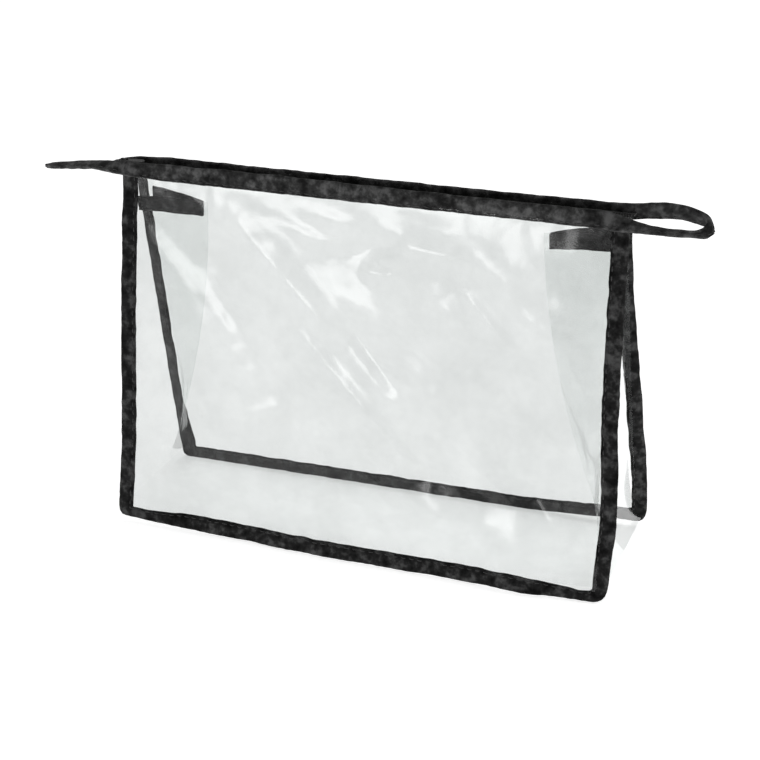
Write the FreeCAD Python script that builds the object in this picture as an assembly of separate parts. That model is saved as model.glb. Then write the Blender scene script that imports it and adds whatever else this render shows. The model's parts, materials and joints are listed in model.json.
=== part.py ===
"""Clear zip-top cosmetic bag: film walls and gussets, folded tape bindings, a zip with tape loops.

Frame: X runs along the width, -Y is the front, +Z is up. The origin is the middle of the footprint.
Units are millimetres. The bag is modelled zipped shut and standing on its two bottom seams.
"""
import FreeCAD
import Part
import math
import os

Vector = FreeCAD.Vector

os.makedirs("parts", exist_ok=True)

# Driving dimensions of the bag.
bag_width = 260.0
top_width = 255.0
bag_depth = 75.0
bag_height = 183.3
mouth_gap = 12.0
seam_height = 7.4

# Film and tape.
film_thickness = 0.5
binding_width = 8.0
binding_thickness = 2.0
tab_height = 8.0
tab_thickness = 1.5
fold_cover = 1.0

# Folding gussets. Each has a lower triangle on the base and an upper triangle against each wall.
gusset_top = 164.0
gusset_offset = 2.5
gusset_side_gap = 2.0
gusset_fold_x = 82.5
hinge_gap = 1.0
tab_wall_gap = 2.5
tab_fold_gap = 5.0

# Tape loops past the ends of the zip.
loop_pivot_x = 128.6
left_loop_path = [(0, 0), (8.5, 0), (16.0, 3.6), (38.0, 3.4)]
right_loop_path = [(0, 0), (27.0, -0.5), (38.0, 2.8)]

# Zip.
zip_height = 178.7
zip_tape_thickness = 0.6
coil_radius = 0.85
coil_offset = 1.7
zip_half_length = 127.3

# Zip slider and pull, with the slider at the closed end.
slider_x = -131.0
slider_length = 11.0
slider_width = 7.2
plate_thickness = 1.2
slider_top_z = 180.4
slider_bottom_z = 176.1
bridge_width = 0.9
bridge_length = 2.0
lug_length = 3.6
lug_width = 1.6
lug_height = 1.9
pull_hole_radius = 0.55
pull_clearance = 0.35
pull_length = 12.0
pull_width = 4.6
pull_thickness = 0.9

lean = math.atan2((bag_depth - mouth_gap) / 2, bag_height - seam_height)
wall_height = math.hypot((bag_depth - mouth_gap) / 2, bag_height - seam_height)
fin_height = (seam_height - binding_thickness / 2 * math.sin(lean)) / math.cos(lean)
seam_line = binding_width - fin_height


def half_width(height):
    """Half the outer width of a wall at a height measured up the wall from its bottom seam."""
    return bag_width / 2 - (bag_width - top_width) / 2 * height / wall_height


def on_front_wall(shape):
    """Place a shape built on an upright wall at the origin onto the leaning front wall."""
    placed = shape.copy()
    placed.rotate(Vector(0, 0, 0), Vector(1, 0, 0), -math.degrees(lean))
    placed.translate(Vector(0, -bag_depth / 2, seam_height))
    return placed


def front_wall_point(x, inward, height):
    """A point on the front wall, given along it, in from its middle plane, and up it."""
    y = -bag_depth / 2 + height * math.sin(lean) + inward * math.cos(lean)
    z = seam_height + height * math.cos(lean) - inward * math.sin(lean)
    return Vector(x, y, z)


def plate(points, thickness):
    """A flat plate whose middle plane is the polygon through the points."""
    face = Part.Face(Part.makePolygon(points + [points[0]]))
    normal = face.normalAt(0, 0)
    face.translate(normal * (-thickness / 2))
    return face.extrude(normal * thickness)


def upright_plate(outline, thickness):
    """A plate in the XZ plane, its middle plane at Y = 0, from (x, z) corners."""
    return plate([Vector(x, 0, z) for x, z in outline], thickness)


def box(x_range, y_range, z_range):
    """A box between three pairs of limits."""
    size = [limits[1] - limits[0] for limits in (x_range, y_range, z_range)]
    return Part.makeBox(*size, Vector(x_range[0], y_range[0], z_range[0]))


def mirror_to_back(shape):
    """The back copy of a front piece."""
    return shape.mirror(Vector(0, 0, 0), Vector(0, 1, 0))


def mirror_to_right(shape):
    """The right copy of a left piece."""
    return shape.mirror(Vector(0, 0, 0), Vector(1, 0, 0))


def inset_triangle(corners, insets):
    """Move each edge of a triangle inward; edge i runs from corner i to the next."""
    moved = []
    for i in range(3):
        here = corners[i]
        ahead = (corners[(i + 1) % 3] - here).normalize()
        behind = (corners[(i + 2) % 3] - here).normalize()
        spread = math.sin(ahead.getAngle(behind))
        moved.append(here + behind * (insets[i] / spread) + ahead * (insets[i - 1] / spread))
    return moved


def export(name, shape):
    """Write one node."""
    shape.exportStep("parts/" + name + ".step")


# Front wall, built upright: film panel, U-shaped seam binding, top binding.
def wall_outline(inset, bottom, top):
    """Corners of the wall's outline, in from the side edges."""
    low = half_width(bottom) - inset
    high = half_width(top) - inset
    return [(-low, bottom), (low, bottom), (high, top), (-high, top)]


panel = upright_plate(wall_outline(fold_cover, fold_cover - fin_height, wall_height - fold_cover),
                      film_thickness)
top_binding_bottom = wall_height - binding_width
seam_outer = upright_plate(wall_outline(0, -fin_height, top_binding_bottom), binding_thickness)
seam_inner = upright_plate(wall_outline(binding_width, seam_line, top_binding_bottom + 1),
                           binding_thickness + 1)
corner_cut = binding_width * 0.35
corner_tools = []
for side in (-1, 1):
    corner = Vector(side * half_width(-fin_height), 0, -fin_height)
    across = corner - Vector(side * corner_cut, 0, 0)
    up = corner + Vector(0, 0, corner_cut)
    corner_tools.append(plate([corner, across, up], binding_thickness + 1))
seam_binding = seam_outer.cut(seam_inner)
for tool in corner_tools:
    seam_binding = seam_binding.cut(tool)
    panel = panel.cut(tool)
seam_binding = seam_binding.cut(panel)
top_binding = upright_plate(wall_outline(0, top_binding_bottom, wall_height), binding_thickness)
top_binding = top_binding.cut(panel)

front_wall = {
    "panel": on_front_wall(panel),
    "seam_binding": on_front_wall(seam_binding),
    "top_binding": on_front_wall(top_binding),
}

# Half of the zip: flat tape from the top binding to the coil.
band_inner_y = front_wall_point(0, binding_thickness / 2, wall_height - bag_height + zip_height).y
zip_tape = box((-zip_half_length, zip_half_length),
               (band_inner_y - binding_thickness / 4, -coil_offset - coil_radius / 2),
               (zip_height - zip_tape_thickness / 2, zip_height + zip_tape_thickness / 2))
coil_start = Vector(-zip_half_length, -coil_offset, zip_height)
zip_coil = Part.makeCylinder(coil_radius, 2 * zip_half_length, coil_start, Vector(1, 0, 0))
front_wall["zip_tape"] = zip_tape.cut(front_wall["top_binding"]).cut(zip_coil)
front_wall["zip_coil"] = zip_coil

for name, shape in front_wall.items():
    export("front_" + name, shape)
    export("back_" + name, mirror_to_back(shape))

# One strand of a tape loop: folded tape from the end of the top binding to the loop's tip.
def loop_strand(path):
    """The front left strand along a path of (distance past the pivot, distance inward) points."""
    half = binding_thickness / 2
    outer_side = [Vector(-loop_pivot_x - x, y - half, top_binding_bottom) for x, y in path]
    inner_side = [Vector(-loop_pivot_x - x, y + half, top_binding_bottom) for x, y in path]
    profile = outer_side + inner_side[::-1]
    face = Part.Face(Part.makePolygon(profile + [profile[0]]))
    return on_front_wall(face.extrude(Vector(0, 0, binding_width)))


left_strand = loop_strand(left_loop_path)
right_strand = mirror_to_right(loop_strand(right_loop_path))
export("left_front_loop_strand", left_strand)
export("left_back_loop_strand", mirror_to_back(left_strand))
export("right_front_loop_strand", right_strand)
export("right_back_loop_strand", mirror_to_back(right_strand))

# Left gusset: lower triangle hinged on the base, upper front triangle with its folded tape tab.
edge_bottom = half_width(0) - binding_width - gusset_side_gap
edge_top = half_width(gusset_top) - binding_width - gusset_side_gap
corner_a = front_wall_point(-edge_bottom, gusset_offset, 0)
corner_b = front_wall_point(-edge_top, gusset_offset, gusset_top)
corner_e = Vector(-gusset_fold_x, 0, corner_b.z)
corner_a_back = Vector(corner_a.x, -corner_a.y, corner_a.z)

lower = plate(inset_triangle([corner_a, corner_a_back, corner_e], [hinge_gap] * 3), film_thickness)
upper_corners = inset_triangle([corner_a, corner_b, corner_e], [0, fold_cover, hinge_gap])
upper = plate(upper_corners, film_thickness)

fold_direction = (corner_e - corner_b).normalize()
fold_length = (corner_e - corner_b).Length
upper_normal = (corner_b - corner_a).cross(corner_e - corner_a).normalize()
down = fold_direction.cross(upper_normal).normalize()
if down.z > 0:
    down = -down
tab_start = corner_b + fold_direction * tab_wall_gap
tab_end = corner_b + fold_direction * (fold_length - tab_fold_gap)
tab = plate([tab_start, tab_end, tab_end + down * tab_height, tab_start + down * tab_height],
            tab_thickness)
tab = tab.cut(upper)

# Base film between the bottom seams.
base_half_depth = bag_depth / 2 - gusset_offset
base_half_width = edge_bottom - hinge_gap
base = box((-base_half_width, base_half_width), (-base_half_depth, base_half_depth),
           (corner_a.z - film_thickness / 2, corner_a.z + film_thickness / 2))
export("base_film", base)

left_pieces = {
    "gusset_upper": upper,
    "gusset_tab": tab,
}
for name, shape in left_pieces.items():
    export("left_front_" + name, shape)
    export("left_back_" + name, mirror_to_back(shape))
    export("right_front_" + name, mirror_to_right(shape))
    export("right_back_" + name, mirror_to_back(mirror_to_right(shape)))
export("left_gusset_lower", lower)
export("right_gusset_lower", mirror_to_right(lower))

# Zip slider: two plates joined by the bridge at its open end, with a lug for the pull.
half_slider = slider_length / 2
top_plate = box((slider_x - half_slider, slider_x + half_slider), (-slider_width / 2, slider_width / 2),
                (slider_top_z, slider_top_z + plate_thickness))
bottom_plate = box((slider_x - half_slider, slider_x + half_slider),
                   (-slider_width / 2, slider_width / 2),
                   (slider_bottom_z, slider_bottom_z + plate_thickness))
bridge = box((slider_x - half_slider, slider_x - half_slider + bridge_length),
             (-bridge_width / 2, bridge_width / 2),
             (slider_bottom_z + plate_thickness, slider_top_z))
lug_z = slider_top_z + plate_thickness
lug = box((slider_x - lug_length / 2, slider_x + lug_length / 2), (-lug_width / 2, lug_width / 2),
          (lug_z, lug_z + lug_height))
pin_z = lug_z + lug_height / 2
eye = Part.makeCylinder(pull_hole_radius + pull_clearance, lug_width + 1,
                        Vector(slider_x, -lug_width / 2 - 0.5, pin_z), Vector(0, 1, 0))
slider = top_plate.fuse([bottom_plate, bridge, lug]).cut(eye).removeSplitter()
export("zip_slider", slider)

# Pull tab: a flat tongue with two arms and a pin through the lug.
arm_gap = lug_width / 2 + pull_clearance
arm_reach = 3.2
tongue = box((slider_x + arm_reach, slider_x + pull_length), (-pull_width / 2, pull_width / 2),
             (pin_z - pull_thickness / 2, pin_z + pull_thickness / 2))
pull = tongue
for side in (-1, 1):
    inner = side * arm_gap
    outer = side * pull_width / 2
    arm = box((slider_x - pull_hole_radius, slider_x + arm_reach), (min(inner, outer), max(inner, outer)),
              (pin_z - pull_thickness / 2, pin_z + pull_thickness / 2))
    pull = pull.fuse(arm)
pin = Part.makeCylinder(pull_hole_radius, 2 * arm_gap + 0.4, Vector(slider_x, -arm_gap - 0.2, pin_z),
                        Vector(0, 1, 0))
pull = pull.fuse(pin).removeSplitter()
export("zip_pull_tab", pull)
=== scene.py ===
"""Looks of the clear zip-top cosmetic bag: vinyl film, folded tape bindings, coil zip and tape loops.

Shapes are worked out in millimetres in the model's own frame (X along the width, -Y the front, +Z up)
and written to the meshes in metres.
"""
import json
import math

import bpy
import numpy as np
from mathutils import Matrix, Vector


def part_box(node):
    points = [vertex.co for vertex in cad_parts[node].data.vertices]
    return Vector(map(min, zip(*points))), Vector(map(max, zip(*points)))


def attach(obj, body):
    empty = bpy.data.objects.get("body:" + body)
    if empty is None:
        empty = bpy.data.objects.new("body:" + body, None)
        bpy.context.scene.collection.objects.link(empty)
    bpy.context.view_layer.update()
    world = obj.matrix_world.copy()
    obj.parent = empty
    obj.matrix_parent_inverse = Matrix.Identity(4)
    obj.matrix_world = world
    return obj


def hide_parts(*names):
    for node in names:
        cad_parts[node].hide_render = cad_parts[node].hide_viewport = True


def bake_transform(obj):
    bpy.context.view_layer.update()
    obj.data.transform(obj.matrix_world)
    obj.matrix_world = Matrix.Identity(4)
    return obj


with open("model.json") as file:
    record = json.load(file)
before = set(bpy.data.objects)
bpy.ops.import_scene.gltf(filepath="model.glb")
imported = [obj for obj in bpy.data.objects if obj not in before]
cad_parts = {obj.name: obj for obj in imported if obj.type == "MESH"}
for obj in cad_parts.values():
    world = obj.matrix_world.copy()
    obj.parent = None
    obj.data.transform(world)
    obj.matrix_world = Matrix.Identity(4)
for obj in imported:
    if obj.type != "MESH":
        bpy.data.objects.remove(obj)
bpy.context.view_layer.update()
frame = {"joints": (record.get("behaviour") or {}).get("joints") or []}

MM = 0.001
JOINTS = {joint["name"]: joint for joint in frame["joints"]}

# Driving dimensions of the bag, in millimetres.
HINGE = np.array(JOINTS["front_wall_hinge"]["pos_m"]) / MM
BAG_DEPTH = -2 * HINGE[1]
SEAM_HEIGHT = HINGE[2]
BAG_WIDTH = 260.0
TOP_WIDTH = 255.0
BAG_HEIGHT = 183.3
MOUTH_GAP = 12.0
BINDING = 8.0
GUSSET_TOP = 164.0
ZIP_HEIGHT = 178.7
STITCH_PITCH = 4.3
GUSSET_DEPTH = 34.6
SEAM_OVERLAP = 0.6
FOOT_SPREAD = 6.0
COIL_PITCH = 1.27
COIL_WIRE_RADIUS = 0.27

# The walls lean towards each other; their bottom bindings reach FIN below the seam, down to the floor.
LEAN = math.atan2((BAG_DEPTH - MOUTH_GAP) / 2, BAG_HEIGHT - SEAM_HEIGHT)
LEAN_DEG = math.degrees(LEAN)
WALL_HEIGHT = math.hypot((BAG_DEPTH - MOUTH_GAP) / 2, BAG_HEIGHT - SEAM_HEIGHT)
FIN = (SEAM_HEIGHT - math.sin(LEAN)) / math.cos(LEAN)
FRONT, BACK = -1, 1
SIDES = {"front": FRONT, "back": BACK}
ENDS = {"left": -1, "right": 1}

# How the soft parts stray from the plain shape, and where each loop starts to bend.
BACK_FLARE = math.radians(30)
TAB_DROOP = {"left": (-1.4, -3.6), "right": (2.6, -1.3)}
TAB_SEWN_IN = 4.5
SPLIT_X = 126.0

# Film and light.
SHEET_GLOSS_ROUGHNESS = 0.15
VINYL_IOR = 1.53
FLOOR_GLOW = 0.70
SURROUND_LIGHT = 0.30


# ---------------------------------------------------------------- shape helpers
def half_width(up):
    """Half the width of a wall at a height measured up the wall from its bottom seam."""
    return BAG_WIDTH / 2 - (BAG_WIDTH - TOP_WIDTH) / 2 * up / WALL_HEIGHT


def on_wall(side, x, up, out=0.0):
    """Points on a leaning wall, from the distance along it, up it and out of it."""
    x, up, out = np.broadcast_arrays(x, up, out)
    y = side * (BAG_DEPTH / 2 - up * math.sin(LEAN) + out * math.cos(LEAN))
    z = SEAM_HEIGHT + up * math.cos(LEAN) + out * math.sin(LEAN)
    return np.stack([x, y, z], axis=-1)


def ripple(s, seed, wavelength):
    """Smooth repeatable unevenness along a line, about -1 to 1."""
    rng = np.random.default_rng(seed)
    total = np.zeros_like(np.asarray(s, float))
    for k in range(5):
        stretch = 0.6 + 0.9 * rng.random()
        phase = 2 * math.pi * rng.random()
        total = total + np.sin(2 * math.pi * s / (wavelength * stretch) + phase) / (1 + 0.3 * k)
    return total / 2.6


def ripple_2d(u, v, seed, wavelength, waves=9):
    """Smooth repeatable unevenness over a surface, about -1 to 1."""
    rng = np.random.default_rng(seed)
    total = 0
    for k in range(waves):
        turn = math.pi * rng.random()
        length = wavelength * (0.6 + 1.0 * rng.random())
        phase = 2 * math.pi * rng.random()
        total = total + np.sin(2 * math.pi * (u * math.cos(turn) + v * math.sin(turn)) / length + phase)
    return total / math.sqrt(waves) / 1.4


def smooth_path(stations, spacing):
    """Rows evenly spaced along a smooth path through rows of control values that begin with a point."""
    stations = np.array(stations, float)
    steps = np.linalg.norm(np.diff(stations[:, :3], axis=0), axis=1)
    at = np.concatenate([[0], np.cumsum(steps)])
    slope = np.gradient(stations, at, axis=0)
    fine = np.linspace(0, at[-1], int(at[-1] / spacing) + 2)
    k = np.clip(np.searchsorted(at, fine, side="right") - 1, 0, len(at) - 2)
    span = (at[k + 1] - at[k])[:, None]
    t = ((fine - at[k])[:, None]) / span
    return (stations[k] * (2 * t**3 - 3 * t**2 + 1) + stations[k + 1] * (3 * t**2 - 2 * t**3)
            + slope[k] * span * (t**3 - 2 * t**2 + t) + slope[k + 1] * span * (t**3 - t**2))


def unit(vectors):
    """Vectors made one long."""
    return vectors / np.linalg.norm(vectors, axis=-1, keepdims=True)


def make_object(name, points, faces, material, smooth=True):
    """A mesh object from points in millimetres."""
    mesh = bpy.data.meshes.new(name)
    mesh.from_pydata((np.asarray(points, float).reshape(-1, 3) * MM).tolist(), [], faces)
    mesh.update()
    mesh.polygons.foreach_set("use_smooth", [smooth and len(face) <= 4 for face in faces])
    mesh.materials.append(material)
    obj = bpy.data.objects.new(name, mesh)
    bpy.context.scene.collection.objects.link(obj)
    return obj


def grid_faces(rows, columns, wrap=False, first=0):
    """Quads over a grid of points stored row by row; wrap closes each row into a ring."""
    faces = []
    for i in range(rows - 1):
        for j in range(columns if wrap else columns - 1):
            a = first + i * columns + j
            b = first + i * columns + (j + 1) % columns
            faces.append((a, b, b + columns, a + columns))
    return faces


def tube_from_rings(rings):
    """Points and faces of a closed solid through rings of points, capped at both ends."""
    rows, columns = rings.shape[:2]
    faces = grid_faces(rows, columns, wrap=True)
    faces.append(tuple(range(columns))[::-1])
    faces.append(tuple(range((rows - 1) * columns, rows * columns)))
    return rings.reshape(-1, 3), faces


def join_parts(parts):
    """One list of points and faces from several."""
    points, faces, count = [], [], 0
    for part_points, part_faces in parts:
        points.append(part_points)
        faces += [tuple(i + count for i in face) for face in part_faces]
        count += len(part_points)
    return np.concatenate(points), faces


# ---------------------------------------------------------------- materials
def new_material(name):
    """A material with its Principled node, and the node tree's helpers."""
    material = bpy.data.materials.new(name)
    material.use_nodes = True
    return material, material.node_tree.nodes, material.node_tree.links


def noise(nodes, links, scale, detail=3.0, roughness=0.55):
    """A noise texture in object space; scale is in features per metre."""
    coordinates = nodes.new("ShaderNodeTexCoord")
    texture = nodes.new("ShaderNodeTexNoise")
    texture.inputs["Scale"].default_value = scale
    texture.inputs["Detail"].default_value = detail
    texture.inputs["Roughness"].default_value = roughness
    links.new(coordinates.outputs["Object"], texture.inputs["Vector"])
    return texture


def ramp(nodes, links, source, stops):
    """A colour ramp from (position, grey or colour) stops."""
    node = nodes.new("ShaderNodeValToRGB")
    while len(node.color_ramp.elements) < len(stops):
        node.color_ramp.elements.new(0.5)
    for element, (position, colour) in zip(node.color_ramp.elements, stops):
        element.position = position
        shade = (colour,) * 3 if isinstance(colour, float) else colour
        element.color = (*shade, 1.0)
    links.new(source, node.inputs["Fac"])
    return node


def add_bump(nodes, links, height, strength, distance, below=None):
    """A bump node; distance is in metres."""
    bump = nodes.new("ShaderNodeBump")
    bump.inputs["Strength"].default_value = strength
    bump.inputs["Distance"].default_value = distance
    links.new(height, bump.inputs["Height"])
    if below:
        links.new(below.outputs["Normal"], bump.inputs["Normal"])
    return bump


def tape_material(name, darkest, middle, lightest):
    """Charcoal non-woven binding tape: mottled, matt, softly fibrous."""
    material, nodes, links = new_material(name)
    shader = nodes["Principled BSDF"]
    shader.inputs["Sheen Weight"].default_value = 0.08
    shader.inputs["Sheen Roughness"].default_value = 0.45
    shader.inputs["Specular IOR Level"].default_value = 0.14
    clouds = noise(nodes, links, 190, 4.0, 0.6)
    colour = ramp(nodes, links, clouds.outputs["Fac"],
                  [(0.36, darkest), (0.50, middle), (0.66, lightest)])
    links.new(colour.outputs["Color"], shader.inputs["Base Color"])
    rough = ramp(nodes, links, clouds.outputs["Fac"], [(0.3, 0.86), (0.7, 0.62)])
    links.new(rough.outputs["Color"], shader.inputs["Roughness"])
    fibres = noise(nodes, links, 1900, 3.0, 0.7)
    creases = noise(nodes, links, 420, 3.0, 0.6)
    fine = add_bump(nodes, links, fibres.outputs["Fac"], 0.45, 0.0001)
    coarse = add_bump(nodes, links, creases.outputs["Fac"], 0.55, 0.0004, fine)
    links.new(coarse.outputs["Normal"], shader.inputs["Normal"])
    return material


def thread_material():
    """Dark sewing thread with a slight twist along it."""
    material, nodes, links = new_material("thread")
    shader = nodes["Principled BSDF"]
    shader.inputs["Sheen Weight"].default_value = 0.3
    strands = noise(nodes, links, 2600, 2.0)
    colour = ramp(nodes, links, strands.outputs["Fac"], [(0.35, 0.006), (0.7, 0.028)])
    links.new(colour.outputs["Color"], shader.inputs["Base Color"])
    shader.inputs["Roughness"].default_value = 0.6
    bump = add_bump(nodes, links, strands.outputs["Fac"], 0.5, 0.0001)
    links.new(bump.outputs["Normal"], shader.inputs["Normal"])
    return material


def weave_material():
    """Black woven zip tape: fine ribs along the tape crossed by the weft."""
    material, nodes, links = new_material("zip_tape")
    shader = nodes["Principled BSDF"]
    shader.inputs["Sheen Weight"].default_value = 0.25
    shader.inputs["Roughness"].default_value = 0.8
    coordinates = nodes.new("ShaderNodeTexCoord")
    bands = []
    for direction, scale in (("X", 700.0), ("Y", 900.0)):
        wave = nodes.new("ShaderNodeTexWave")
        wave.bands_direction = direction
        wave.inputs["Scale"].default_value = scale
        wave.inputs["Distortion"].default_value = 0.6
        links.new(coordinates.outputs["Object"], wave.inputs["Vector"])
        bands.append(wave)
    both = nodes.new("ShaderNodeMath")
    both.operation = "MAXIMUM"
    links.new(bands[0].outputs["Fac"], both.inputs[0])
    links.new(bands[1].outputs["Fac"], both.inputs[1])
    colour = ramp(nodes, links, both.outputs["Value"], [(0.3, 0.010), (0.95, 0.030)])
    links.new(colour.outputs["Color"], shader.inputs["Base Color"])
    bump = add_bump(nodes, links, both.outputs["Value"], 0.7, 0.00012)
    links.new(bump.outputs["Normal"], shader.inputs["Normal"])
    return material


def plastic_material():
    """Black nylon zip coil with faint scuffs."""
    material, nodes, links = new_material("zip_coil")
    shader = nodes["Principled BSDF"]
    scuffs = noise(nodes, links, 800, 4.0)
    colour = ramp(nodes, links, scuffs.outputs["Fac"], [(0.35, 0.012), (0.75, 0.034)])
    links.new(colour.outputs["Color"], shader.inputs["Base Color"])
    rough = ramp(nodes, links, scuffs.outputs["Fac"], [(0.3, 0.30), (0.7, 0.48)])
    links.new(rough.outputs["Color"], shader.inputs["Roughness"])
    return material


def enamel_material():
    """Black enamelled die-cast metal, a little worn and uneven."""
    material, nodes, links = new_material("slider_enamel")
    shader = nodes["Principled BSDF"]
    shader.inputs["Coat Weight"].default_value = 0.15
    shader.inputs["Coat Roughness"].default_value = 0.25
    wear = noise(nodes, links, 520, 5.0, 0.65)
    colour = ramp(nodes, links, wear.outputs["Fac"], [(0.35, 0.008), (0.62, 0.016), (0.78, 0.060)])
    links.new(colour.outputs["Color"], shader.inputs["Base Color"])
    rough = ramp(nodes, links, wear.outputs["Fac"], [(0.3, 0.22), (0.7, 0.42)])
    links.new(rough.outputs["Color"], shader.inputs["Roughness"])
    bump = add_bump(nodes, links, wear.outputs["Fac"], 0.15, 0.0001)
    links.new(bump.outputs["Normal"], shader.inputs["Normal"])
    return material


def film_material(name, hazy, clearest, shine):
    """Clear soft vinyl: it lets light through with a faint grey haze and shines most at glancing angles."""
    material, nodes, links = new_material(name)
    nodes.remove(nodes["Principled BSDF"])
    output = nodes["Material Output"]
    haze = noise(nodes, links, 30, 6.0, 0.66)
    tint = ramp(nodes, links, haze.outputs["Fac"], [(0.30, hazy), (0.70, clearest)])
    clear = nodes.new("ShaderNodeBsdfTransparent")
    links.new(tint.outputs["Color"], clear.inputs["Color"])
    dimples = noise(nodes, links, 60, 2.0, 0.5)
    bump = add_bump(nodes, links, dimples.outputs["Fac"], 0.35, 0.0012)
    gloss = nodes.new("ShaderNodeBsdfGlossy")
    gloss.inputs["Color"].default_value = (1.0, 1.0, 1.0, 1.0)
    gloss.inputs["Roughness"].default_value = SHEET_GLOSS_ROUGHNESS
    links.new(bump.outputs["Normal"], gloss.inputs["Normal"])
    fresnel = nodes.new("ShaderNodeFresnel")
    fresnel.inputs["IOR"].default_value = VINYL_IOR
    links.new(bump.outputs["Normal"], fresnel.inputs["Normal"])
    shine_share = nodes.new("ShaderNodeMath")
    shine_share.operation = "MULTIPLY"
    shine_share.use_clamp = True
    shine_share.inputs[1].default_value = shine
    links.new(fresnel.outputs["Fac"], shine_share.inputs[0])
    mix = nodes.new("ShaderNodeMixShader")
    links.new(shine_share.outputs["Value"], mix.inputs["Fac"])
    links.new(clear.outputs["BSDF"], mix.inputs[1])
    links.new(gloss.outputs["BSDF"], mix.inputs[2])
    links.new(mix.outputs["Shader"], output.inputs["Surface"])
    return material


def floor_material():
    """Plain white studio paper, lit from below."""
    material, nodes, links = new_material("floor")
    shader = nodes["Principled BSDF"]
    shader.inputs["Roughness"].default_value = 0.9
    shader.inputs["Specular IOR Level"].default_value = 0.1
    grain = noise(nodes, links, 300, 2.0)
    colour = ramp(nodes, links, grain.outputs["Fac"], [(0.3, 0.93), (0.7, 0.95)])
    links.new(colour.outputs["Color"], shader.inputs["Base Color"])
    shader.inputs["Emission Color"].default_value = (1.0, 1.0, 1.0, 1.0)
    shader.inputs["Emission Strength"].default_value = FLOOR_GLOW
    return material


SEAM_TAPE = tape_material("seam_tape", 0.0006, 0.012, 0.070)
TOP_TAPE = tape_material("top_tape", 0.0075, 0.034, 0.105)
THREAD = thread_material()
WEAVE = weave_material()
PLASTIC = plastic_material()
ENAMEL = enamel_material()
FILMS = {"front": film_material("front_wall_film", (0.655, 0.668, 0.663), (0.752, 0.764, 0.760), 0.75),
         "back": film_material("back_wall_film", (0.880, 0.892, 0.888), (0.930, 0.940, 0.936), 0.75)}
STRIP_FILM = film_material("strip_film", (0.928, 0.937, 0.934), (0.958, 0.966, 0.963), 0.30)


# ---------------------------------------------------------------- folded tape
class FoldedTape:
    """Tape folded over an edge: where its fold and its free edges run, and which way its outer face looks."""

    STITCH_AT = 0.84

    def __init__(self, fold, free, normal, seed, thickness=1.0, gather=1.0):
        middle = (fold + free) / 2
        steps = np.linalg.norm(np.diff(middle, axis=0), axis=1)
        self.length_at = np.concatenate([[0], np.cumsum(steps)])
        self.length = self.length_at[-1]
        along = unit(np.gradient(middle, axis=0))
        across = free - fold
        self.rows = np.concatenate([fold, across, unit(normal), along], axis=1)
        self.seed, self.thickness, self.gather = seed, thickness, gather

    def surface(self, s, w, face):
        """Points at lengths s and shares w of the width from the fold; face is 1 outside and -1 inside."""
        s, w = np.asarray(s, float)[:, None], np.asarray(w, float)[None, :]
        at = np.stack([np.interp(s[:, 0], self.length_at, column) for column in self.rows.T], axis=1)
        fold, across, normal = at[:, None, 0:3], at[:, None, 3:6], unit(at[:, 6:9])[:, None, :]
        width = np.linalg.norm(at[:, 3:6], axis=1)[:, None]
        round_off = np.sqrt(np.clip(1 - (1 - np.clip(w * width / self.thickness, 0, 1)) ** 2, 0, 1))
        pillow = 1 + 0.22 * np.sin(math.pi * np.clip(w / self.STITCH_AT, 0, 1)) - 0.12 * w
        stitch_phase = np.cos(2 * math.pi * s / STITCH_PITCH)
        groove = np.exp(-((w - self.STITCH_AT) / 0.055) ** 2) * (0.36 + 0.10 * stitch_phase)
        skew = s + face * 1.7 * w
        pucker = (0.20 * ripple(skew, self.seed + 3 * face, 8.0) + 0.10 * ripple(skew, self.seed + 17, 4.6))
        pucker = pucker * self.gather * np.sin(math.pi * np.clip(0.12 + 0.8 * w, 0, 1))
        half = self.thickness * round_off * (pillow - groove) + pucker * round_off
        wave = self.gather * (0.34 * ripple(s, self.seed + 5, 31.0) + 0.16 * ripple(s, self.seed + 7, 11.0))
        fold_wave = 0.24 * ripple(s, self.seed + 8, 24.0) + 0.10 * ripple(s, self.seed + 9, 7.5)
        free_wave = 0.20 * ripple(s, self.seed + 10, 17.0) + 0.10 * ripple(s, self.seed + 11, 5.5)
        slide = (fold_wave * (1 - w) + free_wave * w) / width
        share = (w + slide)[..., None]
        return fold + across * share + normal * (face * half + wave * (0.35 + 0.65 * w))[..., None]

    def mesh(self, start=0.0, end=None, spacing=1.3):
        """Points and faces of the closed solid between two lengths."""
        end = self.length if end is None else end
        s = np.linspace(start, end, max(3, int((end - start) / spacing) + 1))
        mean_width = np.linalg.norm(self.rows[:, 3:6], axis=1).mean()
        turn = np.radians([0, 28, 58, 90])
        tip = (1 - np.cos(turn)) * self.thickness / mean_width
        w = np.concatenate([tip, np.linspace(tip[-1], 1, 13)[1:]])
        outer = self.surface(s, w[::-1], 1)
        inner = self.surface(s, w[1:], -1)
        return tube_from_rings(np.concatenate([outer, inner], axis=1))

    def stitches(self, start=0.0, end=None):
        """Points and faces of the stitches on both faces between two lengths."""
        end = self.length if end is None else end
        count = max(1, int((end - start) / STITCH_PITCH))
        gap, dash = 0.16, 0.68
        parts = []
        for face in (1, -1):
            for k in range(count):
                s0 = start + (k + gap) * STITCH_PITCH
                s = np.linspace(s0, s0 + dash * STITCH_PITCH, 5)
                line = self.surface(s, [self.STITCH_AT], face)[:, 0]
                at = np.array([np.interp(s0, self.length_at, column) for column in self.rows.T])
                normal, across = unit(at[6:9]), unit(at[3:6])
                arch = np.array([-0.10, 0.14, 0.20, 0.14, -0.10])[:, None]
                line = line + face * normal * arch
                radius = np.array([0.12, 0.24, 0.27, 0.24, 0.12])
                turn = np.arange(6) * math.pi / 3
                ring = (np.cos(turn)[:, None] * across + np.sin(turn)[:, None] * normal)
                parts.append(tube_from_rings(line[:, None] + radius[:, None, None] * ring[None]))
        return join_parts(parts)


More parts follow.
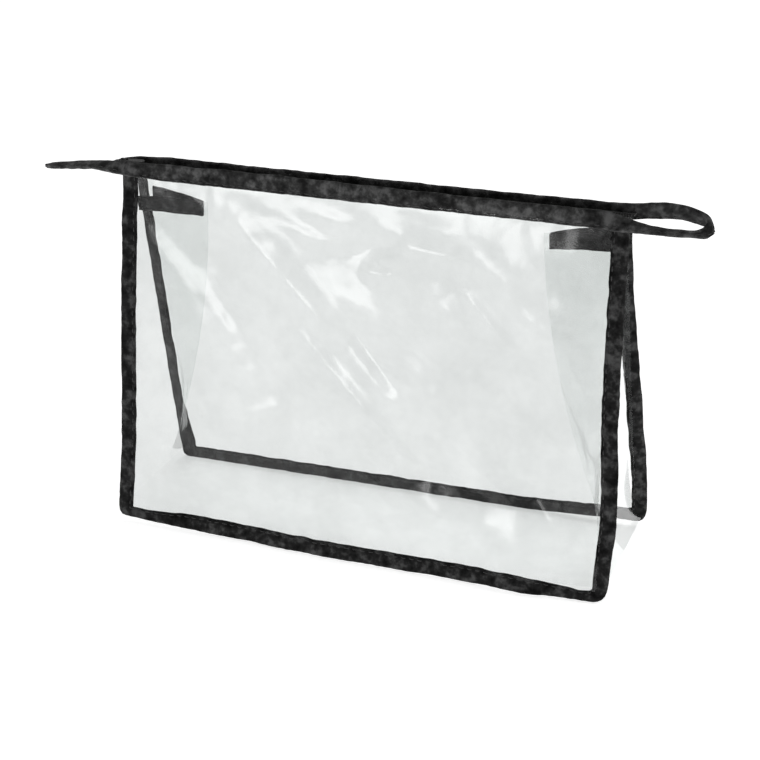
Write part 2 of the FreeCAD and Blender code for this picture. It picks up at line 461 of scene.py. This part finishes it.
def add_tape(name, tape, body, start=0.0, end=None, material=TOP_TAPE):
    """A stretch of folded tape with its stitches, riding on a body; it returns both objects."""
    cloth = make_object(name, *tape.mesh(start, end), material)
    sewing = make_object(name + "_stitches", *tape.stitches(start, end), THREAD)
    for obj in (cloth, sewing):
        if body:
            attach(obj, body)
    return cloth, sewing


def corner_curve(before, corner, after, trims, steps):
    """A rounded corner: a curve that starts and ends the given distances from the corner."""
    start = corner + unit(before - corner) * trims[0]
    end = corner + unit(after - corner) * trims[1]
    t = np.linspace(0, 1, steps)[:, None]
    return start * (1 - t) ** 2 + corner * 2 * t * (1 - t) + end * t**2


def bottom_bulge(side, x):
    """How far the bottom edge of a wall stands out of its plane: only the front one does."""
    if side == BACK:
        return 0 * x
    rise, fall = np.clip((x + 55) / 50, 0, 1), np.clip((135 - x) / 32, 0, 1)
    return 3.3 * np.sin(rise * math.pi / 2) * np.sin(fall * math.pi / 2) + 2.8 * np.exp(-((x - 86) / 16) ** 2)


def edge_bow(side, x, up):
    """How far the soft edges of a wall stray from straight lines, along it and up it."""
    low = np.clip(1 - up / 12, 0, 1)
    if side == FRONT:
        low_right = 2.3 * (x > 100) * np.exp(-((up - 38) / 30) ** 2)
        low_left = 1.6 * (x < -100) * np.exp(-((up - 38) / 45) ** 2)
        return low_right + low_left, 2.8 * np.clip((-x - 30) / 95, 0, 1) ** 2 * low
    right = (x > 100) * (1.7 * np.exp(-((up - 22) / 30) ** 2) - 2.6 * np.clip((up - 70) / 60, 0, 1))
    left = -3.8 * (x < -100) * np.clip(up / 30, 0, 1)
    return right + left, 3.0 * np.clip((x - 72) / 46, 0, 1) * low


def seam_tape(side):
    """The tape down one end of a wall, along its bottom and up the other end."""
    tuck = 3.0
    top = WALL_HEIGHT - BINDING + tuck
    low = -FIN

    def outline(inset, bottom, trims):
        top_x, bottom_x = half_width(top) - inset, half_width(low) - inset
        corners = np.array([(-top_x, top), (-bottom_x, bottom), (bottom_x, bottom), (top_x, top)])
        left = corner_curve(corners[0], corners[1], corners[2], trims[0], 12)
        right = corner_curve(corners[1], corners[2], corners[3], trims[1], 12)
        t = np.linspace(0, 1, 90)[:, None]
        down = corners[0] + (left[0] - corners[0]) * t
        under = left[-1] + (right[0] - left[-1]) * t
        rise = right[-1] + (corners[3] - right[-1]) * t
        return np.concatenate([down[:-1], left, under[1:-1], right, rise[1:]])

    fold_trims = ((7.0, 4.5), (6.5, 11.0)) if side == FRONT else ((4.0, 4.0), (5.0, 9.5))
    fold = outline(0.0, low, fold_trims)
    free = outline(BINDING, low + BINDING - (side == BACK), ((1.0, 1.0), (1.0, 1.0)))
    bow_x, bow_up = edge_bow(side, fold[:, 0], fold[:, 1])
    # The back tapes turn outward above the corner, so their folds stand off the wall.
    flare = 0.0 if side == FRONT else BACK_FLARE * np.clip((fold[:, 1] - 6) / 20, 0, 1)
    slope = np.sign(fold[:, 0]) * (np.abs(free[:, 0]) - np.abs(fold[:, 0])) * (1 - math.cos(BACK_FLARE))
    fold_x = fold[:, 0] + bow_x + slope * flare / BACK_FLARE
    out = bottom_bulge(side, fold[:, 0]) * np.clip(1 - fold[:, 1] / 30, 0, 1)
    fold_points = on_wall(side, fold_x, fold[:, 1] + bow_up, out + BINDING * np.sin(flare))
    # The front tape is gathered narrower towards both bottom corners.
    pinch = 3.0 * np.clip((np.abs(fold[:, 0]) - 90) / 28, 0, 1) * (free[:, 1] < 8) * (side == FRONT)
    free_points = on_wall(side, free[:, 0] + bow_x, free[:, 1] + bow_up - pinch, out)
    across = np.cross(np.gradient((fold_points + free_points) / 2, axis=0), free_points - fold_points)
    straight_out = on_wall(side, 0, 0, 1) - on_wall(side, 0, 0)
    normal = across * np.sign(across @ straight_out)[:, None]
    return FoldedTape(fold_points, free_points, normal, seed=20 + 40 * (side == BACK), thickness=0.85)


def top_run(side):
    """The tape along the top of a wall, with a strand of each loop past its ends.

    A station is a point on the tape's middle line, its lean towards the other wall in degrees and its width.
    """
    if side == FRONT:
        stations = [(-175.4, -0.3, 175.4, 88, 0.9), (-169, -0.6, 176.7, 88, 4.0),
                    (-163, -0.8, 177.4, 87, 5.8), (-153, -0.9, 178.4, 86, 7.4),
                    (-146, -1.4, 179.0, 82, 7.6), (-140, -2.9, 179.8, 74, 7.6),
                    (-134, -4.7, 180.3, 62, 7.6), (-126, -6.1, 180.5, 44, 7.4),
                    (-113, -6.5, 180.3, 22, 7.8), (-63, -6.6, 180.2, LEAN_DEG, 8.6),
                    (0, -6.6, 179.6, LEAN_DEG, 8.4), (98, -6.6, 178.8, LEAN_DEG, 8.2),
                    (117, -6.6, 178.5, 24, 8.2), (126, -6.8, 177.3, 60, 7.6),
                    (136, -7.0, 176.4, 84, 6.8), (150, -6.7, 175.9, 88, 6.0),
                    (157, -5.6, 175.9, 82, 5.4), (161.2, -3.6, 176.6, 50, 5.4),
                    (162.8, -0.6, 178.2, 20, 6.2)]
    else:
        stations = [(-175.2, 0.3, 174.7, 88, 0.9), (-169, 0.6, 175.5, 88, 3.6),
                    (-163, 0.8, 176.1, 87, 5.2), (-153, 0.9, 176.9, 86, 6.8),
                    (-146, 1.4, 177.5, 80, 7.2), (-140, 2.9, 178.3, 66, 7.4),
                    (-134, 4.7, 178.9, 42, 7.8), (-126, 6.2, 179.3, 18, 8.0),
                    (-113, 6.6, 179.6, LEAN_DEG, 8.0), (-63, 6.6, 179.5, LEAN_DEG, 8.0),
                    (0, 6.6, 179.3, LEAN_DEG, 8.0), (98, 6.6, 179.1, LEAN_DEG, 8.0),
                    (126, 6.6, 179.5, LEAN_DEG, 8.0), (135, 6.9, 180.5, 11, 8.0),
                    (143, 7.1, 181.4, 12, 7.8), (151, 6.8, 180.8, 13, 7.4),
                    (157, 5.6, 179.7, 14, 6.8), (161.0, 3.2, 178.9, 17, 6.6),
                    (162.8, -0.6, 178.2, 20, 6.2)]
    rows = smooth_path(stations, 1.2)
    middle, lean, width = rows[:, :3], np.radians(rows[:, 3:4]), rows[:, 4:5]
    along = np.gradient(middle, axis=0)
    along[:, 2] = 0
    along = unit(along)
    inward = -side * np.cross([0, 0, 1], along)
    rise = np.cos(lean) * np.array([0, 0, 1]) + np.sin(lean) * inward
    normal = -np.cos(lean) * inward + np.sin(lean) * np.array([0, 0, 1])
    fold, free = middle + rise * width / 2, middle - rise * width / 2
    return FoldedTape(fold, free, normal, seed=130 + 50 * (side == BACK), thickness=0.95, gather=1.1)


def add_bindings():
    """The seam tape and top tape of both walls, and the strands of the tape loops."""
    for name, side in SIDES.items():
        wall = name + "_wall"
        seam, _ = add_tape(name + "_seam_tape", seam_tape(side), wall, material=SEAM_TAPE)
        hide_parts(name + "_seam_binding")
        run = top_run(side)
        middle_x = run.rows[:, 0] + run.rows[:, 3] / 2
        left_at, right_at = np.interp([-SPLIT_X, SPLIT_X], middle_x, run.length_at)
        band, _ = add_tape(name + "_top_tape", run, wall, left_at, right_at)
        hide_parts(name + "_top_binding")
        for end, sign in ENDS.items():
            start, stop = (0.0, left_at) if end == "left" else (right_at, run.length)
            loop = f"{end}_{name}_loop"
            strand, strand_stitches = add_tape(loop + "_tape", run, None, start, stop)
            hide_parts(loop + "_strand")
            for obj in (strand, strand_stitches):
                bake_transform(obj)


# ---------------------------------------------------------------- film
def crease(u, v, start, end, width, height):
    """A ridge along a line on a film panel, fading at its ends."""
    start, end = np.array(start, float), np.array(end, float)
    line = end - start
    share = ((u - start[0]) * line[0] + (v - start[1]) * line[1]) / (line @ line)
    away = ((u - start[0]) * line[1] - (v - start[1]) * line[0]) / np.linalg.norm(line)
    fade = np.clip(1 - (2 * share - 1) ** 4, 0, 1) * ((share > 0) & (share < 1))
    return height * fade * np.exp(-(away / width) ** 2)


# Each crease is its start and its end on the wall (along it, up it), its width and its height.
FRONT_CREASES = [((-38, 166), (0, 157), 3.5, 0.9), ((-9, 146), (22, 154), 4.5, -1.3),
                 ((20, 154), (56, 149), 5, 1.2), ((-2, 138), (18, 136), 3, 0.8),
                 ((50, 136), (104, 80), 2.2, 0.7), ((-6, 112), (22, 80), 3.5, -0.9),
                 ((-32, 106), (36, 40), 4.0, 0.9), ((-80, 40), (-40, 66), 6, 0.9),
                 ((60, 120), (88, 100), 5, 0.6), ((-70, 160), (-12, 104), 3.0, 0.6),
                 ((30, 60), (90, 36), 5, 0.7), ((-104, 16), (-60, 30), 5, 0.6),
                 ((-62, 164), (-24, 152), 2.7, 0.45), ((-50, 172), (2, 160), 2.7, 0.4),
                 ((-34, 152), (16, 146), 2.7, 0.4), ((4, 172), (46, 162), 2.8, 0.4),
                 ((58, 92), (92, 68), 2.8, 0.45), ((-12, 62), (42, 44), 3.0, 0.5),
                 ((-102, 16), (-72, 60), 3.0, 0.55), ((-104, 14), (-86, 52), 2.8, 0.5),
                 ((-102, 12), (-54, 18), 2.8, 0.5), ((104, 20), (70, 44), 3.0, 0.5),
                 ((104, 26), (86, 70), 3.0, 0.5), ((-90, 130), (-64, 96), 3.0, 0.45)]
BACK_CREASES = [((-60, 150), (-14, 128), 5, 1.0), ((-20, 120), (30, 70), 4, -0.9),
                ((-96, 20), (-60, 44), 6, 1.1), ((20, 146), (60, 120), 5, 1.0),
                ((40, 80), (96, 40), 6, 0.8), ((-50, 84), (-8, 30), 5, 0.9)]


def add_panel(name, side, creases, seed):
    """A wall of film, held flat by its bindings and rippled between them."""
    rows, columns = 96, 140
    tuck = 5.0
    v = np.linspace(-FIN + tuck, WALL_HEIGHT - tuck, rows)[:, None]
    across = np.linspace(-1, 1, columns)[None, :]
    u = across * (half_width(v) - tuck)
    inside_x = np.clip((half_width(v) - BINDING - np.abs(u)) / 30, 0, 1)
    inside_low = np.clip((v - BINDING + FIN) / 25, 0, 1)
    inside_top = np.clip((WALL_HEIGHT - BINDING - v) / 30, 0, 1)
    free = 1.0
    for inside in (inside_x, inside_low, inside_top):
        free = free * np.sin(inside * math.pi / 2)
    out = 1.5 * ripple_2d(u, v, seed, 95) + 0.38 * ripple_2d(u, v * 0.8, seed + 1, 34) + 1.2
    down_slope, over_slope = (u - v) / math.sqrt(2), (u + v) / math.sqrt(2)
    out = out + 0.42 * ripple_2d(down_slope * 0.28, over_slope, seed + 4, 24)
    out = out + 0.05 * ripple_2d(u, v, seed + 2, 11)
    for line in creases:
        out = out + crease(u, v, *line)
    pull = 0.10 * ripple(u, seed + 3, 13.0) * np.exp(-((WALL_HEIGHT - BINDING - v) / 14) ** 2)
    bulge = bottom_bulge(side, u) * np.clip(1 - (v - BINDING + FIN) / 45, 0, 1) ** 1.5
    points = on_wall(side, u, v, out * free + bulge + pull * np.sin(inside_x * math.pi / 2))
    panel = make_object(name + "_film", points, grid_faces(rows, columns), FILMS[name])
    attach(panel, name + "_wall")
    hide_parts(name + "_panel")


def gusset_edge(side, t):
    """Where the film strip meets a wall: how far out along X and how far from the middle in Y, and Z."""
    up = GUSSET_TOP * t
    x = half_width(up) - BINDING + SEAM_OVERLAP + FOOT_SPREAD * np.exp(-up / 9)
    wall = on_wall(side, x, up, -1.9 - 0.9 * t)
    return wall[..., 0], wall[..., 1], wall[..., 2]


def add_gusset(end, side_name):
    """Half of a side gusset, from one wall to the fold up the middle, with the ends of its bending zone."""
    sign, side = ENDS[end], SIDES[side_name]
    rows, columns = 90, 34
    t = np.linspace(0, 1, rows)[:, None]
    s = np.linspace(0, 1, columns)[None, :]
    edge_x, edge_y, edge_z = gusset_edge(side, t)
    depth = GUSSET_DEPTH * (1 - (1 - t) ** 1.9)
    x = edge_x - depth * s
    y = edge_y * (1 - s)
    outer_droop, inner_droop = TAB_DROOP[end]
    z = edge_z + (outer_droop + (inner_droop - outer_droop) * s) * t**3
    belly = np.sin(math.pi * s) * np.sin(math.pi * np.clip(t, 0, 1))
    seed = 300 + 10 * (sign > 0) + (side > 0)
    x = x + belly * (0.9 * ripple_2d(y, z, seed, 60) + 0.25 * ripple_2d(y, z, seed + 40, 17))
    y = y - side * belly * (1.0 * ripple_2d(x, z, seed + 60, 55))
    points = np.stack([sign * x, y, z], axis=-1)
    name = f"{end}_{side_name}_gusset_film"
    film = make_object(name, points, grid_faces(rows, columns), STRIP_FILM)
    node = f"{end}_{side_name}_gusset_upper"
    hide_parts(node, end + "_gusset_lower")
    fold_foot = np.array(JOINTS[f"{end}_{side_name}_gusset_hinge"]["pos_m"]) / MM
    fold_line = np.array(JOINTS[f"{end}_{side_name}_gusset_hinge"]["axis"])
    seam_x, mid_fold, half_zone = 118.0, 80.0, 3.0
    to_wall = on_wall(side, sign * seam_x, GUSSET_TOP, -2.5) - fold_foot
    to_wall = to_wall - fold_line * (to_wall @ fold_line)
    to_base = np.array([fold_foot[0], 0.0, fold_foot[2]]) - fold_foot
    to_base = to_base - fold_line * (to_base @ fold_line)
    across = unit(unit(to_wall) - unit(to_base))
    middle = fold_foot + fold_line * mid_fold * np.sign(fold_line[2])
    return film, middle - across * half_zone, middle + across * half_zone


def add_gussets():
    """The four halves of the two gussets."""
    for end in ENDS:
        for side_name in SIDES:
            film, start, stop = add_gusset(end, side_name)
            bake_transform(film)


def add_base():
    """The base film between the two bottom seams, sagging a little."""
    rows, columns = 40, 110
    half_x = half_width(0) - BINDING + SEAM_OVERLAP + FOOT_SPREAD
    half_y = BAG_DEPTH / 2 - 1.2
    below_seam, sag = 0.5, 2.0
    u = np.linspace(-half_x, half_x, columns)[None, :]
    v = np.linspace(-half_y, half_y, rows)[:, None]
    free = np.clip((half_y - np.abs(v)) / 16, 0, 1) * np.clip((half_x - np.abs(u)) / 20, 0, 1)
    free = np.sin(free * math.pi / 2)
    relief = 1.1 * ripple_2d(u, v, 410, 70) + 0.35 * ripple_2d(u, v, 411, 22) - sag
    z = SEAM_HEIGHT - below_seam + free * relief
    forward = bottom_bulge(FRONT, u) * np.clip(-v / half_y, 0, 1)
    points = np.stack(np.broadcast_arrays(u, v - forward, z), axis=-1)
    film = make_object("base_sheet", points, grid_faces(rows, columns), STRIP_FILM)
    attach(film, "base")
    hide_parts("base_film")


# ---------------------------------------------------------------- gusset tabs
def add_tabs():
    """The folded tape over the top edge of each half of a gusset, sewn a little way into the side seam."""
    for end, sign in ENDS.items():
        for side_name, side in SIDES.items():
            low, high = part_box(f"{end}_{side_name}_gusset_tab")
            low, high = np.array(low) / MM, np.array(high) / MM
            outer_x, inner_x = (low[0], high[0]) if sign < 0 else (high[0], low[0])
            half_tab, tape_width, open_end = 0.9, 7.5, 1.6
            outer_y = max(abs(low[1]), abs(high[1])) - half_tab
            inner_y = min(abs(low[1]), abs(high[1])) + half_tab
            top = high[2]
            count = 30
            t = np.linspace(0, 1, count)[:, None]
            start = np.array([outer_x, side * outer_y, top + TAB_DROOP[end][0]])
            finish = np.array([inner_x + open_end * sign, side * inner_y, top + TAB_DROOP[end][1]])
            start = start + unit(start - finish) * TAB_SEWN_IN
            bow = np.sin(math.pi * t) * np.array([0, 0, 0.6])
            fold = start + (finish - start) * t + bow
            tip = np.array([0, -side * 0.4, -tape_width])
            free = fold + tip - bow * 0.4
            normal = np.tile(np.array([0.16 * sign, side * 1.0, 0.04]), (count, 1))
            tape = FoldedTape(fold, free, normal, seed=520 + 30 * (sign > 0) + 9 * (side > 0), thickness=0.72,
                              gather=0.45)
            cloth, _ = add_tape(f"{end}_{side_name}_tab_tape", tape, f"{end}_{side_name}_gusset",
                                material=SEAM_TAPE)
            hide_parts(f"{end}_{side_name}_gusset_tab")


# ---------------------------------------------------------------- zip
def add_zip_tapes():
    """The woven tape from each top binding to its coil."""
    for name, side in SIDES.items():
        low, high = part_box(name + "_zip_tape")
        x = np.linspace(low[0] / MM, high[0] / MM, 170)[:, None]
        near = min(abs(low[1]), abs(high[1])) / MM - 0.2
        far = max(abs(low[1]), abs(high[1])) / MM + 0.4
        middle, half_tape = (near + far) / 2, 0.28
        ring_y = np.array([near, near + 0.2, middle, far, far, middle, near + 0.2])[None, :]
        ring_z = half_tape * np.array([0, 1, 1, 1, -1, -1, -1])[None, :]
        lift = 0.16 * ripple(x, 610 + side, 24.0) + 0.05 * ripple(x, 620 + side, 7.0)
        rings = np.stack(np.broadcast_arrays(x, side * ring_y, ZIP_HEIGHT + ring_z + lift), axis=-1)
        obj = make_object(name + "_zip_weave", *tube_from_rings(rings), WEAVE)
        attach(obj, name + "_wall")
        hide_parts(name + "_zip_tape")


def add_coils():
    """The two interlocking nylon coils, each a spiral of one filament."""
    steps = 14
    centre_y, half_depth, raised, half_height = 1.45, 1.55, 0.2, 0.62
    for name, side in SIDES.items():
        low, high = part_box(name + "_zip_coil")
        start, end = low[0] / MM, high[0] / MM
        turns = int((end - start) / COIL_PITCH)
        angle = np.arange(turns * steps) * 2 * math.pi / steps
        shift = 0.5 if side == BACK else 0.0
        x = start + (angle / (2 * math.pi) + shift) * COIL_PITCH
        x = np.clip(x, start, end)
        y = side * (centre_y - half_depth * np.cos(angle))
        z = ZIP_HEIGHT + raised + half_height * np.sin(angle)
        centre = np.stack([x, y, z], axis=-1)
        along = unit(np.gradient(centre, axis=0))
        level = unit(np.cross(along, [1.0, 0.0, 0.0]))
        other = np.cross(along, level)
        turn = np.arange(6) * math.pi / 3
        ring = np.cos(turn)[None, :, None] * level[:, None] + np.sin(turn)[None, :, None] * other[:, None]
        rings = centre[:, None] + COIL_WIRE_RADIUS * ring
        obj = make_object(name + "_zip_teeth", *tube_from_rings(rings), PLASTIC)
        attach(obj, name + "_wall")
        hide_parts(name + "_zip_coil")


def solid_from_outline(outline, low, high, bevel):
    """Points and faces of a plate with rounded edges, from its outline in X and Y."""
    outline = np.array(outline, float)
    centre = outline.mean(axis=0)
    rings = []
    for inset, z in ((bevel, low), (0.3 * bevel, low + 0.3 * bevel), (0.0, low + bevel),
                     (0.0, high - bevel), (0.3 * bevel, high - 0.3 * bevel), (bevel, high)):
        away = unit(outline - centre)
        ring = outline - away * inset
        rings.append(np.column_stack([ring, np.full(len(ring), z)]))
    return tube_from_rings(np.array(rings))


def slider_outline(length, broad, narrow):
    """The outline of a slider plate: broad and round at the open end, narrow at the other."""
    turn = np.linspace(0, 2 * math.pi, 40, endpoint=False)
    x = length / 2 * np.sign(np.cos(turn)) * np.abs(np.cos(turn)) ** 0.6
    half = (broad + narrow) / 4 - (broad - narrow) / 4 * x / (length / 2)
    y = half * np.sign(np.sin(turn)) * np.abs(np.sin(turn)) ** 0.6
    return np.stack([x, y], axis=-1)


def add_slider():
    """The zip slider: two plates, the bridge between them and the pull's lug; it returns the pin's place."""
    low, high = (np.array(corner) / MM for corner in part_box("zip_slider"))
    centre_x = (low[0] + high[0]) / 2
    length, width = high[0] - low[0], high[1] - low[1]
    pin = np.array(JOINTS["pull_hinge"]["pos_m"]) / MM
    plate, bevel = 1.2, 0.35
    lug_height = high[2] - (pin[2] - (high[2] - pin[2]))
    top_low = high[2] - lug_height - plate
    outline = slider_outline(length, width, width * 0.78) + np.array([centre_x, 0])
    parts = [solid_from_outline(outline, top_low, top_low + plate, bevel),
             solid_from_outline(outline, low[2], low[2] + plate, bevel)]
    bridge = slider_outline(2.2, 1.6, 0.8) + np.array([low[0] + 1.3, 0])
    parts.append(solid_from_outline(bridge, low[2] + plate - 0.2, top_low + 0.2, 0.05))
    lug_reach, lug_rise, lug_half_width, lug_half_thickness = 1.8, 1.95, 0.72, 0.30
    turn = np.linspace(0, math.pi, 15)
    arch_z = top_low + plate - 0.3 + lug_rise * np.sin(turn)
    arch = np.stack([centre_x + lug_reach * np.cos(turn), 0 * turn, arch_z], axis=-1)
    along = unit(np.gradient(arch, axis=0))
    sideways = np.array([0.0, 1.0, 0.0])
    outward = np.cross(along, sideways)
    around = np.linspace(0, 2 * math.pi, 10, endpoint=False)
    across, through = (wave(around)[None, :, None] for wave in (np.cos, np.sin))
    ring = lug_half_width * across * sideways + lug_half_thickness * through * outward[:, None]
    parts.append(tube_from_rings(arch[:, None] + ring))
    obj = make_object("slider_body", *join_parts(parts), ENAMEL)
    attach(obj, "slider")
    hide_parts("zip_slider")
    return pin


def add_pull(pin):
    """The pull: a flat tongue with a rounded end, a raised rim and a ring through the slider's lug."""
    low, high = (np.array(corner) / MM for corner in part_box("zip_pull_tab"))
    reach = high[0] - pin[0]
    width = high[1] - low[1]
    neck, half_thickness, arm_radius = 2.6, 0.45, 0.42
    t = np.linspace(0, 1, 26)
    x = pin[0] + neck + (reach - neck) * t
    half = width / 2 * np.clip(np.sqrt(1 - np.clip((t - 0.72) / 0.28, 0, 1) ** 2), 0.02, 1)
    half = half * (0.66 + 0.34 * np.clip(t / 0.35, 0, 1))
    around = np.linspace(0, 2 * math.pi, 20, endpoint=False)
    flat_y = np.sign(np.cos(around)) * np.abs(np.cos(around)) ** 0.5
    flat_z = np.sign(np.sin(around)) * np.abs(np.sin(around)) ** 0.5
    dish = 1 - 0.35 * np.exp(-(np.abs(flat_y) / 0.6) ** 4)
    edge = np.clip(np.minimum(t / 0.05, (1 - t) / 0.03), 0.35, 1)
    y = half[:, None] * flat_y[None, :]
    z = pin[2] + half_thickness * (flat_z * dish)[None, :] * edge[:, None]
    rings = np.stack(np.broadcast_arrays(x[:, None], y, z), axis=-1)
    parts = [tube_from_rings(rings)]
    arm_line = np.array([(3.4, 1.5), (1.6, 1.72), (0.2, 1.72), (-0.45, 1.3), (-0.55, 0.6), (-0.55, 0.0),
                         (-0.55, -0.6), (-0.45, -1.3), (0.2, -1.72), (1.6, -1.72), (3.4, -1.5)])
    centre = np.column_stack([pin[0] + 0.3 + arm_line[:, 0], arm_line[:, 1], np.full(len(arm_line), pin[2])])
    centre = smooth_path(centre, 0.25)
    along = unit(np.gradient(centre, axis=0))
    upward = np.array([0.0, 0.0, 1.0])
    sideways = np.cross(along, upward)
    turn = np.linspace(0, 2 * math.pi, 10, endpoint=False)
    ring = np.cos(turn)[None, :, None] * sideways[:, None] + np.sin(turn)[None, :, None] * upward
    parts.append(tube_from_rings(centre[:, None] + arm_radius * ring))
    obj = make_object("slider_pull", *join_parts(parts), ENAMEL)
    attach(obj, "pull")
    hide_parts("zip_pull_tab")


# ---------------------------------------------------------------- studio
def add_camera():
    """The camera: a long lens to the right of the front, looking a little down."""
    azimuth, elevation, roll = (math.radians(a) for a in (21.41, 24.44, -1.48))
    target = Vector((0.00286, 0.0, 0.08109))
    distance = 0.907
    back = Vector((math.sin(azimuth) * math.cos(elevation), -math.cos(azimuth) * math.cos(elevation),
                   math.sin(elevation)))
    right = Vector((math.cos(azimuth), math.sin(azimuth), 0.0))
    up = back.cross(right)
    rolled_right = right * math.cos(roll) + up * math.sin(roll)
    rolled_up = up * math.cos(roll) - right * math.sin(roll)
    data = bpy.data.cameras.new("camera")
    data.sensor_width = 36.0
    data.lens = 86.87
    camera = bpy.data.objects.new("camera", data)
    turn = Matrix((rolled_right, rolled_up, back)).transposed()
    camera.matrix_world = Matrix.Translation(target + back * distance) @ turn.to_4x4()
    bpy.context.scene.collection.objects.link(camera)
    bpy.context.scene.camera = camera


def add_softbox(name, place, aim, size, power):
    """A rectangular softbox at a place, aimed at a point, both in metres."""
    data = bpy.data.lights.new(name, "AREA")
    data.shape = "RECTANGLE"
    data.size, data.size_y = size
    data.energy = power
    light = bpy.data.objects.new(name, data)
    direction = Vector(aim) - Vector(place)
    light.rotation_mode = "QUATERNION"
    light.rotation_quaternion = direction.to_track_quat("-Z", "Y")
    light.location = place
    light.visible_camera = False
    bpy.context.scene.collection.objects.link(light)


def add_studio():
    """A white paper floor, an even white surround and softboxes."""
    scene = bpy.context.scene
    world = bpy.data.worlds.new("surround")
    world.use_nodes = True
    world.node_tree.nodes["Background"].inputs["Color"].default_value = (1.0, 1.0, 1.0, 1.0)
    world.node_tree.nodes["Background"].inputs["Strength"].default_value = SURROUND_LIGHT
    scene.world = world
    scene.view_settings.view_transform = "Standard"
    corners, radii = 64, (1.0, 400.0, 6000.0)
    turn = np.linspace(0, 2 * math.pi, corners, endpoint=False)
    rings = [np.column_stack([r * np.cos(turn), r * np.sin(turn), 0 * turn]) for r in radii]
    faces = grid_faces(len(radii), corners, wrap=True) + [tuple(range(corners))]
    floor = make_object("floor", np.concatenate(rings), faces, floor_material(), smooth=False)
    centre = (0.0, 0.0, 0.09)
    add_softbox("key_softbox", (-0.60, -1.55, 0.34), centre, (0.60, 0.24), 3.1)
    add_softbox("side_softbox", (1.5, 0.2, 0.8), centre, (0.3, 0.5), 3.0)
    add_softbox("top_softbox", (-0.2, 0.4, 1.6), centre, (0.6, 0.4), 4.5)


add_bindings()
add_panel("front", FRONT, FRONT_CREASES, 201)
add_panel("back", BACK, BACK_CREASES, 231)
add_gussets()
add_base()
add_tabs()
add_zip_tapes()
add_coils()
add_pull(add_slider())
add_camera()
add_studio()
